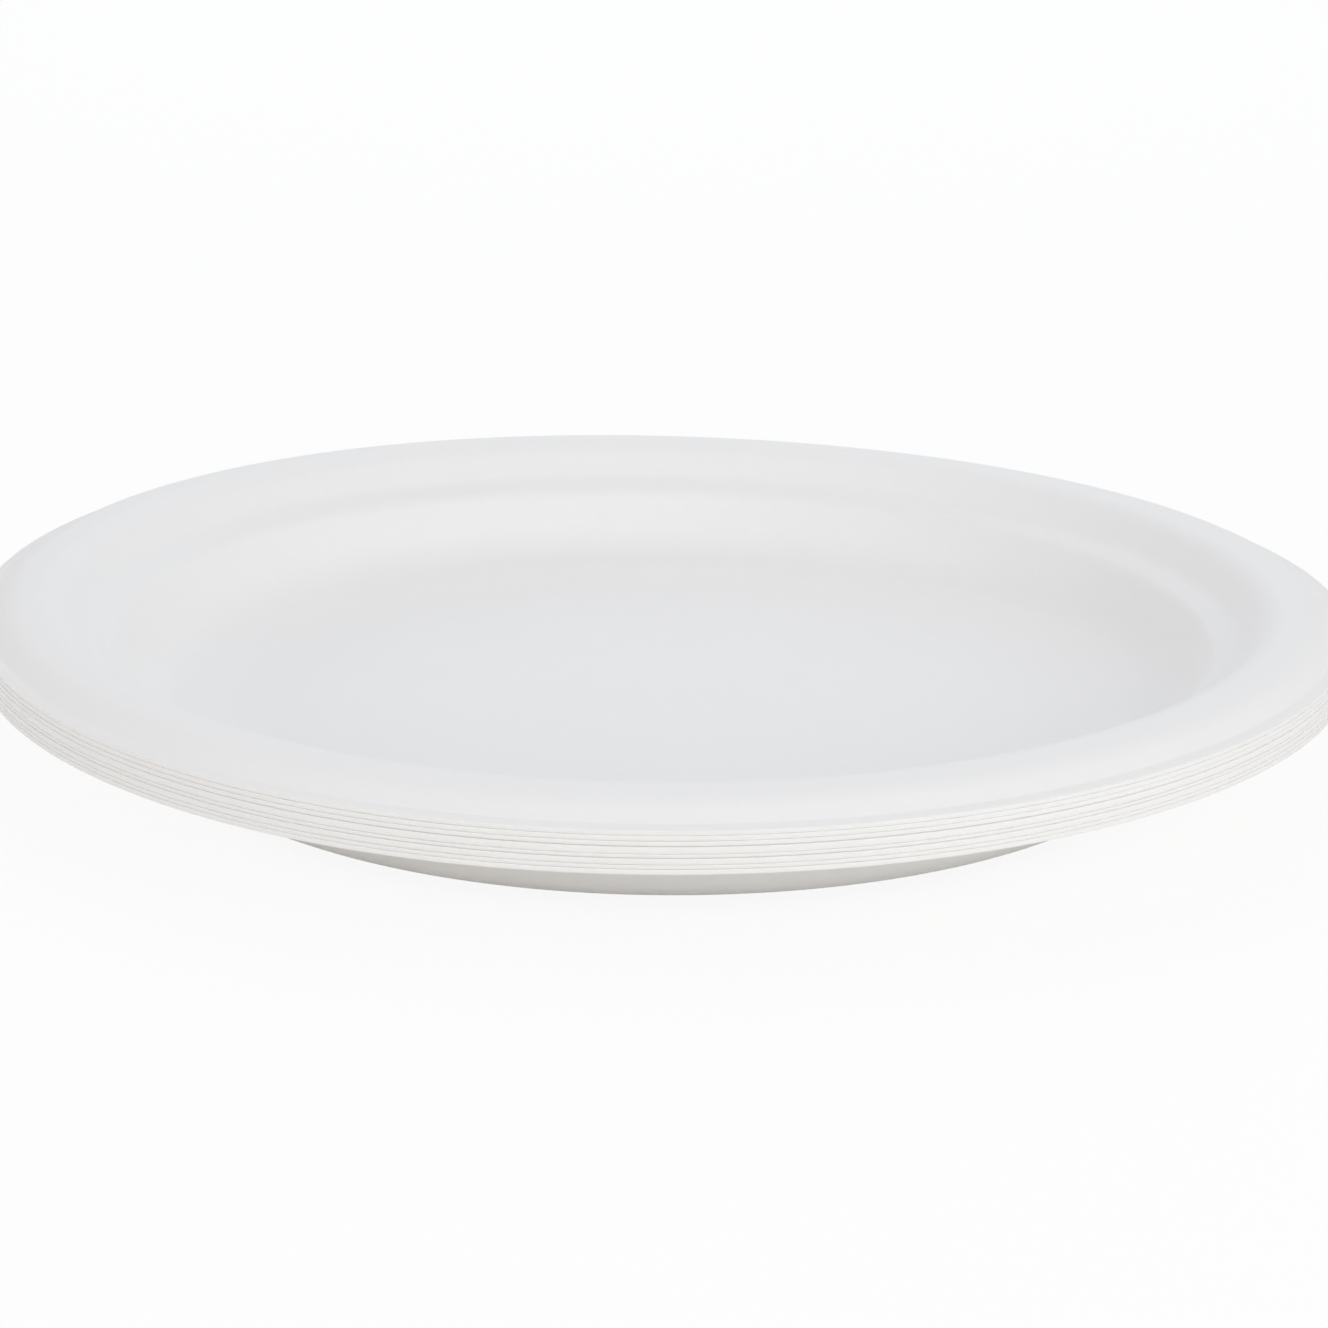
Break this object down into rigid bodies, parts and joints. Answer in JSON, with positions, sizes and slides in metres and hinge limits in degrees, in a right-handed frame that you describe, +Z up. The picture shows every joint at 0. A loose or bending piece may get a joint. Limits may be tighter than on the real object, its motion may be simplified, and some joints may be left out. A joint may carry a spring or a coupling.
{
  "type": "stack of bagasse plates",
  "caption": "Nested stack of round moulded-fibre plates, each with a flat floor, a steep side wall, a ledge and a rolled rim that ends in a narrow flange.",
  "frame": {"origin": "centre of the stack's underside, on the surface that it stands on", "axes": "+Z up, along the axis that all the plates are turned about; +X and +Y lie in the floor of the plates"},
  "size_m": [0.26, 0.26, 0.0304],
  "materials": {
    "bagasse": "matte, pressed fibre"
  },
  "bodies": {
    "root": {"plate_1": "bagasse", "plate_2": "bagasse", "plate_3": "bagasse", "plate_4": "bagasse", "plate_5": "bagasse", "plate_6": "bagasse", "plate_7": "bagasse", "plate_8": "bagasse"}
  },
  "joints": []
}
